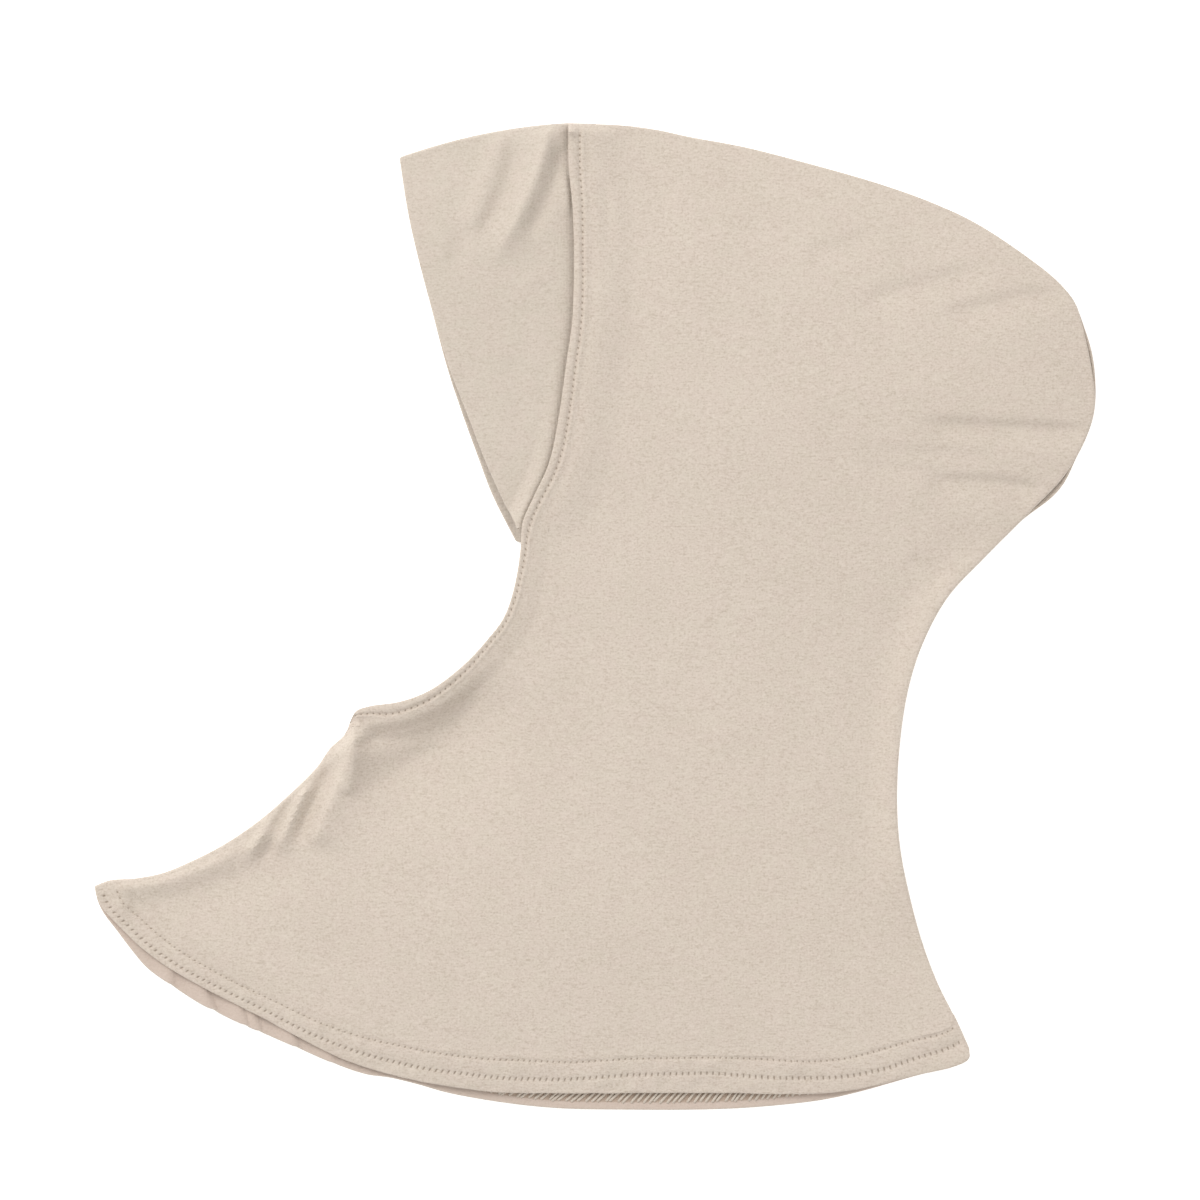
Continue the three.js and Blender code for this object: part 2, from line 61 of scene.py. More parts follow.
# Lines seen from above, as (x, y): the face is towards -x and the crown towards +y
face_edge_places = [
    crown, (-10.9, 173), (-9.2, 154), (-8.7, 136), (-9.4, 112), (-11.6, 96), (-14.6, 75),
    (-18.2, 58), (-24.1, 45), (-28.3, 35.5), (-29, 26), (-31.2, 11.5), (-35.2, -0.5), (-42, -9.5),
    (-51.5, -19.4), (-64, -28.5), (-75, -32.6), (-86, -34.4), (-91.4, -36.4), (-93.6, -40.2),
]
front_fold_places = [
    (-93.6, -40.2), (-95.5, -44.8), (-101.3, -50.4), (-106.3, -57.5), (-117.6, -68.6), (-128, -77.6),
    (-141.2, -86.6), (-153.3, -92.9), (-164.7, -97.6), (-174.6, -99.6), (-184.9, -100.4), (-190.8, -102.6),
]
back_seam_places = [
    crown, (9.3, 186.6), (22.2, 185), (35.5, 182.2), (56, 178.4), (77.3, 173), (108.1, 164.2),
    (128.6, 156.8), (145, 149), (165.1, 135.6), (175.6, 127), (182, 119), (185.4, 108),
    (188.6, 92), (189.6, 80), (186.6, 68.5), (178, 53.2), (165.1, 39.6), (147, 21.4), (133.6, 7),
    (124.1, -10.6), (118.6, -28), (115.3, -50), (114.4, -72), (115.7, -89), (119.1, -106),
    (124, -124), (129.8, -139.4), (136.4, -152.6), (141.8, -164.6),
]
neck_edge_places = [
    (-190.8, -102.6), (-189.4, -107.4), (-186.6, -112.4), (-181, -118.2), (-172.6, -126.4),
    (-160.2, -135.3), (-147.2, -142.5), (-128, -152.2), (-112.7, -160.4), (-96, -168.6), (-79.2, -174),
    (-62.1, -177.8), (-38, -181), (-10, -181.4), (40, -181.2), (80, -181.6), (97, -180.2),
    (122.5, -174.2), (137, -170.8), (141.4, -168.2), (141.8, -164.6),
]
band_end, far_band_end = (-28.5, 33.6), (-29, 28)  # lower ends of the forehead band, on the face edge


def smooth_line(places):
    """A smooth line through a few places, as a close row of points (a centripetal spline)."""
    knots = np.array(places, float)
    knots = np.vstack([2 * knots[0] - knots[1], knots, 2 * knots[-1] - knots[-2]])
    times = np.append(0, np.cumsum(np.linalg.norm(np.diff(knots, axis=0), axis=1) ** 0.5))

    def between(first, second, start, end):
        return (first * (end - now) + second * (now - start)) / (end - start)

    stretches = []
    for i in range(1, len(knots) - 2):
        now = np.linspace(times[i], times[i + 1], 40, endpoint=False)[:, None]
        sides = [between(knots[j], knots[j + 1], times[j], times[j + 1]) for j in (i - 1, i, i + 1)]
        first = between(sides[0], sides[1], times[i - 1], times[i + 1])
        second = between(sides[1], sides[2], times[i], times[i + 2])
        stretches.append(between(first, second, times[i], times[i + 1]))
    return np.vstack([*stretches, knots[-2]])


def reach_along(line):
    return np.append(0, np.cumsum(np.linalg.norm(np.diff(line, axis=0), axis=1)))


def along(line, shares):
    """The places at shares of a line's length."""
    reach = reach_along(line)
    wanted = np.asarray(shares) * reach[-1]
    return np.stack([np.interp(wanted, reach, line[:, k]) for k in range(line.shape[1])], axis=-1)


def leftward(line, shares):
    """Unit steps to the left of a line's direction: into the cloth from a hemmed edge."""
    ahead = along(line, np.clip(np.asarray(shares) + 0.002, 0, 1))
    step = ahead - along(line, np.clip(np.asarray(shares) - 0.002, 0, 1))
    step = np.stack([-step[..., 1], step[..., 0]], axis=-1)
    return step / np.linalg.norm(step, axis=-1, keepdims=True)


def nearest(line, places):
    """How far each place is from a line, on which side (1 is left), and at what share of it."""
    flat = places.reshape(-1, 2)
    steps = np.diff(line, axis=0)
    lengths = np.linalg.norm(steps, axis=1)
    reach = np.append(0, np.cumsum(lengths))
    found = []
    for some in np.array_split(flat, max(1, len(flat) // 3000)):
        away = some[:, None] - line[:-1]
        share = np.clip((away * steps).sum(2) / lengths ** 2, 0, 1)
        gap = np.linalg.norm(away - share[..., None] * steps, axis=2)
        best = gap.argmin(1)
        row = np.arange(len(some))
        turn = steps[best, 0] * away[row, best, 1] - steps[best, 1] * away[row, best, 0]
        at = (reach[best] + share[row, best] * lengths[best]) / reach[-1]
        found.append(np.stack([gap[row, best], np.where(turn >= 0, 1, -1), at]))
    return np.concatenate(found, axis=1).reshape(3, *places.shape[:-1])


def mix(first, second, share):
    return first + (second - first) * share


def smooth(value, low, high):
    share = np.clip((value - low) / (high - low), 0, 1)
    return share * share * (3 - 2 * share)


def bell(value, width):
    return np.exp(-((value / width) ** 2))


face_edge = smooth_line(face_edge_places)
front_fold = smooth_line(front_fold_places)
back_seam = smooth_line(back_seam_places)
neck_edge = smooth_line(neck_edge_places)
band_corner = np.array([-74.3, 174.4])
band_top_bow = 2.4
band_top = np.array([
    mix(crown, band_corner, t) + (0, 4 * band_top_bow * t * (1 - t)) for t in np.linspace(0, 1, 30)
])


def spaced(line, step=1.5):
    return along(line, np.linspace(0, 1, int(reach_along(line)[-1] / step)))


def share_near(line, place):
    return nearest(spaced(line), np.array([place], float))[2, 0]


def inside_line(edge, width, start_place, end_place, swing):
    """Places at a width inside a hemmed edge, which swing to given places at its two ends."""
    length = reach_along(edge)[-1]
    shares = np.linspace(0, 1, 900)
    step = leftward(edge, shares) * width
    from_start = smooth(shares * length, 0, swing)[:, None]
    from_end = smooth((1 - shares) * length, 0, swing)[:, None]
    step = mix(start_place - edge[0], step, from_start)
    step = mix(end_place - edge[-1], step, from_end)
    return along(edge, shares) + step


def at_distance(line, distance):
    return along(line, distance / reach_along(line)[-1])


def at_end_distance(line, distance):
    return along(line, 1 - distance / reach_along(line)[-1])


def face_line(width, chin_width):
    ends = at_distance(back_seam, width), at_distance(front_fold, chin_width)
    return inside_line(face_edge, width, *ends, 2 * face_hem_width)


def neck_line(edge, seam, width):
    ends = at_end_distance(front_fold, width), at_end_distance(seam, width)
    return inside_line(edge, width, *ends, 2 * neck_hem_width)


face_inside = face_line(face_hem_width, chin_hem_width)
neck_inside = neck_line(neck_edge, back_seam, neck_hem_width)

# How high the outer face stands at each level (y), where nothing holds it down
lift_levels = [-182, -115, -41, 47, 121, 187]
lift_heights = [8.6, 11.6, 11.8, 12.4, 12.6, 11.0]


def fold(places, left, right, height, crest=2, fade=0.25):
    """A fold through a few places: how wide it is to the left and to the right of that way, how high (a
    valley is below 0), how sharp its crest is (2 is round), and in what share of it each end dies out."""
    return spaced(smooth_line(places)), left, right, height, crest, fade


chin_folds = [
    fold([(-92.6, -45.4), (-93.4, -54), (-97.4, -64), (-102.4, -75), (-107.6, -89)],
         7, 3.6, 3.8, crest=1.25, fade=0.16),
    fold([(-91.4, -44), (-91.4, -52), (-92.2, -60), (-94.6, -68)],
         2.6, 5, 2.4, crest=1.2, fade=0.1),
    fold([(-98.4, -53), (-104, -63.5), (-109.4, -74), (-115.6, -89)], 2.6, 2.6, -2.4),
    fold([(-106.6, -60), (-112.2, -70), (-117.6, -82), (-121.4, -92)], 3.2, 2.8, 2.8, crest=1.4),
    fold([(-113.8, -67), (-119, -75), (-124.6, -86), (-129, -94)], 2.4, 2.4, -2.0),
    fold([(-119.6, -70.6), (-124.6, -78), (-129.8, -87), (-134, -94)], 3, 3, 1.8),
    fold([(-126, -78), (-131, -85), (-136, -91), (-141, -96)], 2.4, 2.4, -1.1),
    fold([(-33, -17), (-44, -32), (-57.6, -46), (-69, -55.6), (-80, -63), (-91, -69.6), (-99, -73)],
         26, 9.5, -5.1, crest=1.7, fade=0.34),
    fold([(-91, -45.8), (-80, -46.8), (-66, -44.4), (-54.6, -38.4), (-43, -27.6)],
         2.4, 3.6, -1.0, fade=0.15),
]
front_folds = [
    fold([(-186, -102.6), (-165, -100.6), (-150, -96), (-134, -89), (-118, -78)],
         3, 6, 2.2, crest=1.4, fade=0.12),
    fold([(-182, -110), (-163, -108), (-150, -104), (-134, -97.4), (-116, -86)],
         5, 14, -1.6, fade=0.1),
]
back_folds = [
    fold([(118, 73.6), (138, 72.6), (154, 71.8), (170, 71.2), (190, 70)], 2.2, 7, -2.1),
    fold([(122, 51.6), (140, 51.4), (156, 50.4), (172, 46.6)], 2.2, 7, -1.9),
    fold([(96, 64.4), (112, 62.4), (136, 61.4), (156, 60)], 2.4, 6, -0.8),
    fold([(100, 57), (122, 55), (136, 53)], 2.2, 5, -0.7),
    fold([(96, 118), (112, 122.6), (132, 128), (150, 132.4)], 3, 7, -1.3),
    fold([(128, 114), (146, 117.6), (164, 121.8), (180, 121)], 2.4, 6, -1.3),
    fold([(76, 138), (92, 140), (108, 146)], 3, 6, -0.6),
    fold([(118, 24), (126, 18), (132, 10)], 3, 4, -0.7),
    fold([(146, -158), (136, -163), (122, -168)], 4, 4, -1.0),
]
hood_folds = [
    fold([(2.6, 168), (4, 154), (4.8, 136)], 2.2, 3.4, -0.7),
    fold([(14, 176), (22, 164), (30, 156)], 4, 3, -0.6),
    fold([(30, 172), (44, 164), (60, 158)], 4, 3, -0.4),
]
panel_folds = chin_folds + front_folds + back_folds + hood_folds


def folds_at(folds, places):
    """The height that the folds add at some places."""
    total = np.zeros(places.shape[:-1])
    for line, left, right, height, crest, fade in folds:
        gap, side, share = nearest(line, places)
        ends = smooth(share, 0, fade) * (1 - smooth(share, 1 - fade, 1))
        total += height * np.exp(-(gap / np.where(side > 0, left, right)) ** crest) * ends
    return total


def waves(places, size, height, layer):
    """Gentle unevenness of limp cloth, with waves of about a size."""
    flat = places.reshape(-1, 2) / size
    values = [noise.noise(Vector((x, y, layer))) for x, y in flat]
    return height * np.array(values).reshape(places.shape[:-1])


# The closed edges, each with the cloth on its left
closed_edges = [spaced(line) for line in (front_fold, back_seam[::-1], band_top)]


def closed_distance(places, edges):
    return np.min([nearest(line, places)[0] for line in edges], axis=0)


def outward(places, edges):
    """Level unit steps out of the cloth, square to the nearest closed edge."""
    found = np.array([nearest(line, places) for line in edges])
    best = found[:, 0].argmin(0)
    steps = np.stack([-leftward(line, share) for line, (_, _, share) in zip(edges, found)])
    return np.take_along_axis(steps, best[None, ..., None], 0)[0]


def nape_roll(places):
    """How much higher the joined layers stand along the nape, where the seam inside holds them up."""
    x, y = places[..., 0], places[..., 1]
    return nape_rise * smooth(x, 70, 95) * smooth(y, -124, -92) * (1 - smooth(y, 2, 34))


def rim_at(places):
    """The thickness of the joined layers round the cap, highest at the crown end of the face hem."""
    rim = mix(rim_height, crown_rim_height, bell(np.linalg.norm(places - crown, axis=-1), crown_spread))
    return rim + nape_roll(places)


def rolled(distance, radius):
    """How far up its rounded rim the cloth has come, at a distance from a closed edge."""
    inside = 1 - np.clip(distance / radius, 0, 1)
    return np.sqrt(1 - inside * inside)


face_edge_line, neck_edge_line = spaced(face_edge, 1), spaced(neck_edge, 1)


def hem_relief(places):
    """What the hems' inner layers and the pull of their stitches do to the outer face. The face hem
    lies flat over the forehead band, and stands up below it, most of all under the chin."""
    gap, _, share = nearest(face_edge_line, places)
    bare, chin = smooth(share, 0.5, 0.66), smooth(share, 0.74, 0.88)
    stand = 1.2 * bare + 1.0 * chin
    face = stand * (1 - smooth(gap, mix(3.4, 6.2, chin), mix(12, 10.8, chin)))
    face += 3.2 * chin * (1 - smooth(gap, 5, 24))
    face += 2.4 * (1 - bare) * (1 - smooth(gap, 8, 25)) - 0.3 * bell(gap - 7.4, 2.0) * (1 - bare)
    face += mix(0.4, 0.6, bare) * bell(gap - 1.7, 1.6)
    gap = nearest(neck_edge_line, places)[0]
    return face + 0.15 * (1 - smooth(gap, 12.8, 16))


def upper_face(places, under=0.0, folds=(), relief=0.0):
    """Height of the outer face of the upper layer, or of cloth lying under it."""
    distance = closed_distance(places, closed_edges)
    rim = rim_at(places)
    middle, roll = rim / 2, nape_roll(places)
    lift = np.interp(places[..., 1], lift_levels, lift_heights)
    lift = mix(neck_rest, lift, 1 - np.exp(-nearest(neck_edge_line, places)[0] / neck_settle))
    height = mix(rim - roll, lift, 1 - np.exp(-distance / rise_length)) + roll * bell(distance, nape_width)
    uneven = waves(places, 42, 0.4, 1.5) + waves(places, 13, 0.16, 4.5)
    height += smooth(distance, 0, settled) * (folds_at(folds, places) + relief + uneven)
    return middle + (height - under - middle) * rolled(distance, rim_round)


def cape_face(places, stitched=0.0):
    return upper_face(places, folds=panel_folds, relief=hem_relief(places) + stitched)


chin_row, head_row, cross_count = 70, 138, 150  # rows below and above the nape, and places across
nape_level = 1 / 3  # how far up the rows the nape is
head_height = 330  # from the neck hem to the crown
rim_steps = np.array([0, 0.1, 0.35, 0.75, 1.25, 1.85, 2.6, 3.5, 4.6, 6.0])


def cross_shares(width, count):
    """Shares across a panel of a width, closest at its two ends, where the rim is round."""
    middle = np.linspace(rim_steps[-1], width - rim_steps[-1], count)
    return np.concatenate([rim_steps[:-1], middle, width - rim_steps[-2::-1]]) / width


def panel_places(inside, seam):
    """The grid of a panel: rows from the neck hem up to the crown, each from the front to the back."""
    corner = share_near(seam, (183.4, 115.6))
    nape = share_near(seam, (119.5, -24))
    hem_end = 1 - neck_hem_width / reach_along(seam)[-1]
    fold_length = reach_along(front_fold)[-1]
    top_rows = 1 - rim_steps[::-1] / head_height
    heights = np.concatenate([
        np.linspace(0, nape_level, chin_row, endpoint=False),
        np.linspace(nape_level, top_rows[0], head_row),
        top_rows[1:],
    ])
    low = np.clip(heights / nape_level, 0, 1)
    high = np.clip((heights - nape_level) / (1 - nape_level), 0, 1)
    below = heights < nape_level
    front = along(front_fold, mix(1 - neck_hem_width / fold_length, chin_hem_width / fold_length, low))
    left = np.where(below[:, None], front, along(face_inside, 1 - high))
    right = along(seam, np.where(below, mix(hem_end, nape, low), mix(nape, corner, high)))
    top_start = face_hem_width / reach_along(seam)[-1]
    grid = []
    for height, start, end in zip(heights, left, right):
        width = np.linalg.norm(end - start)
        u = cross_shares(width, cross_count)
        bottom, top = along(inside, u), along(seam, mix(top_start, corner, u))
        u = u[:, None]
        bow = mix(bottom, top, height) - mix(mix(along(inside, 0.0), along(inside, 1.0), u),
                                             mix(along(seam, top_start), along(seam, corner), u), height)
        # Rows run straight into the back seam, but for the highest and lowest ones
        straight = smooth(1 - height, 0.02, 0.3) * smooth(height, 0.02, 0.3)
        straight *= 1 - smooth((1 - u) * width, 5, 60)
        grid.append(mix(start, end, u) + bow * (1 - straight))
    return np.array(grid)


def raised(places, heights):
    return np.concatenate([places, heights[..., None]], axis=-1)


inside_mark = 100  # added to the marks on the inner face of a cloth, to tell it from the outer one


def deselect_all():
    for other in bpy.context.selected_objects:
        other.select_set(False)


def placed(name, data):
    thing = bpy.data.objects.new(name, data)
    bpy.context.collection.objects.link(thing)
    return thing


def cloth_mesh(name, outer, wall, round_edge=False, goes_round=False, faces_down=False, rim=None, marks=None):
    """A closed sheet of cloth from the grid of its outer face. Its last column may be a rounded edge,
    and its rows may come back to the first. A rim gives the normals near a closed edge, how much they
    hold, and the wall's thickness there. Marks are (u, v) values kept as a UV map."""
    rows_ahead = np.roll(outer, -1, 0) - np.roll(outer, 1, 0) if goes_round else np.gradient(outer, axis=0)
    normal = np.cross(np.gradient(outer, axis=1), rows_ahead)
    normal /= np.maximum(np.linalg.norm(normal, axis=-1, keepdims=True), 1e-9)
    extreme = outer[..., 2].argmin() if faces_down else outer[..., 2].argmax()
    if (normal[..., 2].flat[extreme] > 0) == faces_down:
        normal = -normal
    thickness = wall
    if rim:
        rim_normal, hold, thickness = rim
        normal = mix(normal, rim_normal, hold[..., None])
        normal /= np.linalg.norm(normal, axis=-1, keepdims=True)
        thickness = thickness[..., None]
    middle = outer - normal * wall / 2
    outer, inner = middle + normal * thickness / 2, middle - normal * thickness / 2
    columns = [outer]
    if round_edge:
        out = outer[:, -1] - outer[:, -2]
        out /= np.linalg.norm(out, axis=-1, keepdims=True)
        centre = (outer[:, -1] + inner[:, -1]) / 2
        up = (outer[:, -1] - inner[:, -1]) / 2
        arc = [
            centre + up * math.cos(angle) + out * math.sin(angle) * wall / 2
            for angle in np.linspace(0, math.pi, 8)[1:-1]
        ]
        columns.append(np.stack(arc, axis=1))
    columns.append(inner[:, ::-1])
    loop = np.concatenate(columns, axis=1)
    rows, around = loop.shape[:2]
    index = np.arange(rows * around).reshape(rows, around)
    if goes_round:
        index = np.vstack([index, index[:1]])
    index = np.hstack([index, index[:, :1]])
    quads = np.stack([index[:-1, :-1], index[:-1, 1:], index[1:, 1:], index[1:, :-1]], axis=-1).reshape(-1, 4)
    faces = quads.tolist()
    if not goes_round:
        across, tip = outer.shape[1], around - 2 * outer.shape[1]
        for row, flip in ((0, True), (rows - 1, False)):
            for c in range(across - 1):
                quad = [row * around + k for k in (c, c + 1, around - c - 2, around - c - 1)]
                faces.append(quad if flip else quad[::-1])
            if tip:
                end = [row * around + k for k in range(across - 1, across + tip + 1)]
                faces.append(end if flip else end[::-1])
    mesh = bpy.data.meshes.new(name)
    mesh.from_pydata((loop.reshape(-1, 3) * mm).tolist(), [], faces)
    if marks is not None:
        at_edge = np.repeat(marks[:, -1:], around - 2 * marks.shape[1], 1)
        marks = np.concatenate([marks, at_edge, marks[:, ::-1]], 1)
        marks = np.hstack([marks, marks[:, :1]])
        corners = np.stack([marks[:-1, :-1], marks[:-1, 1:], marks[1:, 1:], marks[1:, :-1]], axis=-2)
        corners[:, around - outer.shape[1] - 1:, :, 1] += inside_mark
        mesh.uv_layers.new(name="stitch_rows").data.foreach_set("uv", corners.reshape(-1))
    cloth = placed(name, mesh)
    deselect_all()
    cloth.select_set(True)
    bpy.context.view_layer.objects.active = cloth
    bpy.ops.object.mode_set(mode="EDIT")
    bpy.ops.mesh.select_all(action="SELECT")
    bpy.ops.mesh.normals_make_consistent(inside=False)
    bpy.ops.object.mode_set(mode="OBJECT")
    bpy.ops.object.shade_smooth_by_angle(angle=math.radians(50))
    return cloth


def colour(hex_value):
    """An sRGB hex colour as the linear colour that a shader takes."""
    parts = [int(hex_value[k:k + 2], 16) / 255 for k in (1, 3, 5)]
    return [*(c / 12.92 if c <= 0.04045 else ((c + 0.055) / 1.055) ** 2.4 for c in parts), 1]


def blank_material(name):
    """An empty material, and a function that adds a node to it with its settings and gives the node's
    outputs. An input is a value, or an output to link from."""
    material = bpy.data.materials.new(name)
    material.use_nodes = True
    tree = material.node_tree
    tree.nodes.clear()

    def add(kind, inputs, **settings):
        node = tree.nodes.new("ShaderNode" + kind)
        for key, value in settings.items():
            setattr(node, key, value)
        for key, value in inputs.items():
            if isinstance(value, bpy.types.NodeSocket):
                tree.links.new(value, node.inputs[key])
            else:
                node.inputs[key].default_value = value
        return node.outputs

    return material, add


rib_spacing = 0.9  # the knit's ribs are about 0.6 mm apart on the real cloth, drawn so that they show
# Clouds, warmer patches, streaks along the courses and flecks of the yarn: size, detail, roughness
jersey_noises = [
    ((34, 26, 34), 2.0, 0.55), ((9, 7, 9), 3.0, 0.55),
    ((2.3, 0.66, 2.3), 2.0, 0.6), ((0.8, 0.7, 0.8), 1.0, 0.55),
]


# Viscose single jersey, knitted from slightly uneven yarn and piece-dyed: the eye sees a matt, even
# beige with short pale and dark streaks along the courses, and a faint warm and cool clouding.
def jersey_material(name, pale, base, dark, fleck=0.5, stitched=None):
    material, add = blank_material(name)

    def stained(tone, paint, strength, *limits):
        """A tone with a paint mixed in at a strength, where each value is past the second of its limits;
        it fades to nothing towards the first."""
        for value, none, full in limits:
            past = add("MapRange", {"Value": value, 1: none, 2: full})[0]
            strength = add("Math", {0: strength, 1: past}, operation="MULTIPLY")[0]
        return add("Mix", {"Factor": strength, 6: tone, 7: colour(paint)}, data_type="RGBA")[2]

    where = add("TexCoord", {})["Object"]
    noises = []
    for size, detail, roughness in jersey_noises:
        place = add("Mapping", {"Vector": where, "Scale": [1 / (s * mm) for s in size]})[0]
        inputs = {"Vector": place, "Scale": 1.0, "Detail": detail, "Roughness": roughness}
        noises.append(add("TexNoise", inputs)["Fac"])
    clouds, warmth, streaks, flecks = noises
    tone = stained(colour(base), pale, 0.25, (clouds, 0.3, 0.7))
    tone = stained(tone, "#cbbab0", 0.3, (warmth, 0.38, 0.62))
    tone = stained(tone, dark, fleck, (streaks, 0.54, 0.72))
    tone = stained(tone, pale, fleck, (streaks, 0.46, 0.3))
    tone = stained(tone, dark, fleck * 1.1, (flecks, 0.54, 0.74))
    tone = stained(tone, pale, fleck * 1.1, (flecks, 0.46, 0.26))
    if stitched:
        tone = stitched(add, stained, tone)

    place = add("Mapping", {"Vector": where, "Scale": [1 / mm] * 3})[0]
    ribs = add("TexWave", {
        "Vector": place, "Scale": 1 / rib_spacing / 2, "Distortion": 1.2, "Detail": 1.0, "Detail Scale": 0.4,
    }, bands_direction="X")["Fac"]
    relief = 0.0
    for value, height in (ribs, 0.35), (streaks, 1.2), (flecks, 0.9):
        relief = add("Math", {0: value, 1: height, 2: relief}, operation="MULTIPLY_ADD")[0]
    bump = add("Bump", {"Height": relief, "Strength": 0.5, "Distance": 0.22 * mm})[0]
    shader = add("BsdfPrincipled", {
        "Base Color": tone, "Roughness": 0.88, "Specular IOR Level": 0.25, "Sheen Weight": 0.12,
        "Sheen Roughness": 0.5, "Normal": bump,
    })[0]
    add("OutputMaterial", {"Surface": shader})
    return material


jersey = jersey_material("viscose single jersey", "#d6cabd", "#c8bcae", "#b0a292")


def finish_piece(piece, material, slot=None, *nodes):
    piece.data.materials.clear()
    piece.data.materials.append(material)
    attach(piece, "root")
    if nodes:
        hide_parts(*nodes)


def panel_rim(places, edges, seam, radius, up):
    """The exact normals of the rounded rim of a panel, and its wall, rounded off where it is sewn."""
    distance = closed_distance(places, edges)
    inside = 1 - np.clip(distance / radius, 0, 1)
    level = outward(places, edges) * (rim_at(places) / 2 * inside)[..., None]
    normals = raised(level, up * radius * np.sqrt(1 - inside * inside))
    normals /= np.linalg.norm(normals, axis=-1, keepdims=True)
    from_seam = 1 - np.clip(nearest(seam, places)[0] / (cloth_wall / 2), 0, 1)
    wall = cloth_wall * np.maximum(np.sqrt(1 - from_seam ** 2), 0.5)
    return normals, 1 - smooth(distance, 0.35 * radius, 0.9 * radius), wall


left_places = panel_places(neck_inside, back_seam)
left_rim = panel_rim(left_places, closed_edges, spaced(back_seam), rim_round, 1)
left_panel = cloth_mesh("left_panel_cloth", raised(left_places, cape_face(left_places)), cloth_wall,
                        rim=left_rim)
finish_piece(left_panel, jersey, "jersey", "left_panel")

# Right panel
# The same panel of the lower layer, lying flat on the table. It shows only where it lies a little
# farther out than the left panel, along the back of the head.

back_peeks = [((187.5, 98.4), 19, 1.2), ((173.5, 47), 17, 1.9)]  # place, half length and how far out


def outset(line, peeks):
    """A line moved out at a few places, in smooth bulges."""
    shares = np.linspace(0, 1, 700)
    reach, length = shares * reach_along(line)[-1], reach_along(line)[-1]
    out = sum(far * np.clip(1 - ((reach - share_near(line, place) * length) / half) ** 2, 0, 1) ** 2
              for place, half, far in peeks)
    return along(line, shares) + leftward(line, shares) * out[:, None]


far_seam = outset(back_seam, back_peeks)
far_neck_places = [
    (-190.8, -102.6), (-189.8, -107.4), (-187.6, -112.4), (-182.4, -119.4), (-176.1, -127.7),
    (-171.2, -133.4), (-162.4, -139.8), (-146.9, -149.3), (-112.7, -164.5), (-100.1, -169.9),
    (-87.6, -174.2), (-78.8, -175.4), (-68.6, -177.8), (-56, -181.3), (-34, -185.1), (-13.9, -187.1),
    (12, -187.6), (36.7, -187.6), (58, -186.8), (84.9, -184.0), (99, -181), (122.5, -174.4),
    (137, -170.8), (141.4, -168.2), (141.8, -164.6),
]
far_neck_edge = smooth_line(far_neck_places)
far_neck_inside = neck_line(far_neck_edge, far_seam, neck_hem_width)
far_closed_edges = [spaced(line) for line in (front_fold, far_seam[::-1], band_top)]
lower_round = 7  # radius to which the lower layer curls up at a closed edge
# Small pleats that lift the lower neck hem at its front, each steepest on its right side
far_pleats = [
    fold([(-160, -124), (-162, -133), (-162, -142), (-160, -149)], 1.6, 5, 1.0, fade=0.3),
    fold([(-152, -131), (-150, -140), (-146.4, -149), (-142, -156)], 1.3, 4.5, 1.3, fade=0.3),
    fold([(-139, -136), (-136.5, -146), (-134.4, -153), (-132, -161)], 1.3, 4, 1.3, fade=0.3),
    fold([(-134, -138), (-131.4, -148), (-129.4, -155), (-127, -163)], 1.2, 2.4, 1.0, fade=0.3),
    fold([(-121, -143), (-118, -153), (-115.6, -160), (-113, -169)], 1.4, 4.5, 1.1, fade=0.3),
    fold([(-105, -150), (-103, -160), (-101, -168), (-99, -176)], 1.6, 5, 0.8, fade=0.3),
]


def lower_face(places):
    """Height of the outer face of the lower layer, which rests on the table and curls up at its rim."""
    distance = closed_distance(places, far_closed_edges)
    return rim_at(places) / 2 * (1 - rolled(distance, lower_round)) + folds_at(far_pleats, places)


right_places = panel_places(far_neck_inside, far_seam)
right_rim = panel_rim(right_places, far_closed_edges, spaced(far_seam), lower_round, -1)
right_panel = cloth_mesh("right_panel_cloth", raised(right_places, lower_face(right_places)), cloth_wall,
                         faces_down=True, rim=right_rim)
finish_piece(right_panel, jersey, "jersey", "right_panel")

# Forehead band
# A band of the same jersey, cut double and folded at its front edge, with no stitches there. It is
# sewn under the face edge of the hood, folds over at its top, and narrows to nothing on each side.

band_wall = 1.3
band_under = 0.9  # how far the band lies below the hood's outer face at the seam
band_tuck = 3  # how far it reaches in under the face hem
band_ramp = 2.4  # millimetres in which it mostly rises again beside the hem
band_front_places = [
    band_corner, (-70.3, 150), (-62.6, 119), (-55.2, 94), (-48.4, 76.4), (-42, 59.6), (-35.5, 45),
    (-29.8, 33.4),
]
far_band_places = [
    band_corner, (-70.3, 150), (-62.6, 119), (-56, 94), (-50.6, 77.6), (-44.6, 61), (-38.9, 46),
    (-29.9, 28.4),
]
band_sag, band_sag_length = 5.5, 28  # the front edge drops towards the lower layer near its end
band_folds = [
    fold([(-14.6, 197), (-17.4, 186), (-20.4, 174), (-24.6, 162), (-30.4, 149.6), (-38, 136), (-42, 130)],
         5.2, 5.4, 4.2, crest=1.2, fade=0.3),
    fold([(-12.8, 182), (-15.6, 167), (-20.6, 154), (-27.4, 142)], 3, 3.4, -1.6, fade=0.2),
    fold([(-12.4, 169), (-11, 160), (-10.8, 152)], 1.6, 2.2, 0.8),
    fold([(-34, 190), (-36.6, 180), (-40.5, 166), (-46, 152), (-51, 141)], 3.6, 5, 1.5),
    fold([(-29, 180), (-33, 166), (-39.6, 152), (-46, 142)], 3.4, 3, -1.2),
    fold([(-45, 152), (-52, 140), (-56, 128)], 4, 4, -0.6),
    fold([(-30, 126), (-22, 128), (-15, 130)], 2.6, 2.6, 0.4),
    fold([(-34, 100), (-30, 84), (-28, 70)], 4, 4, -0.5),
]


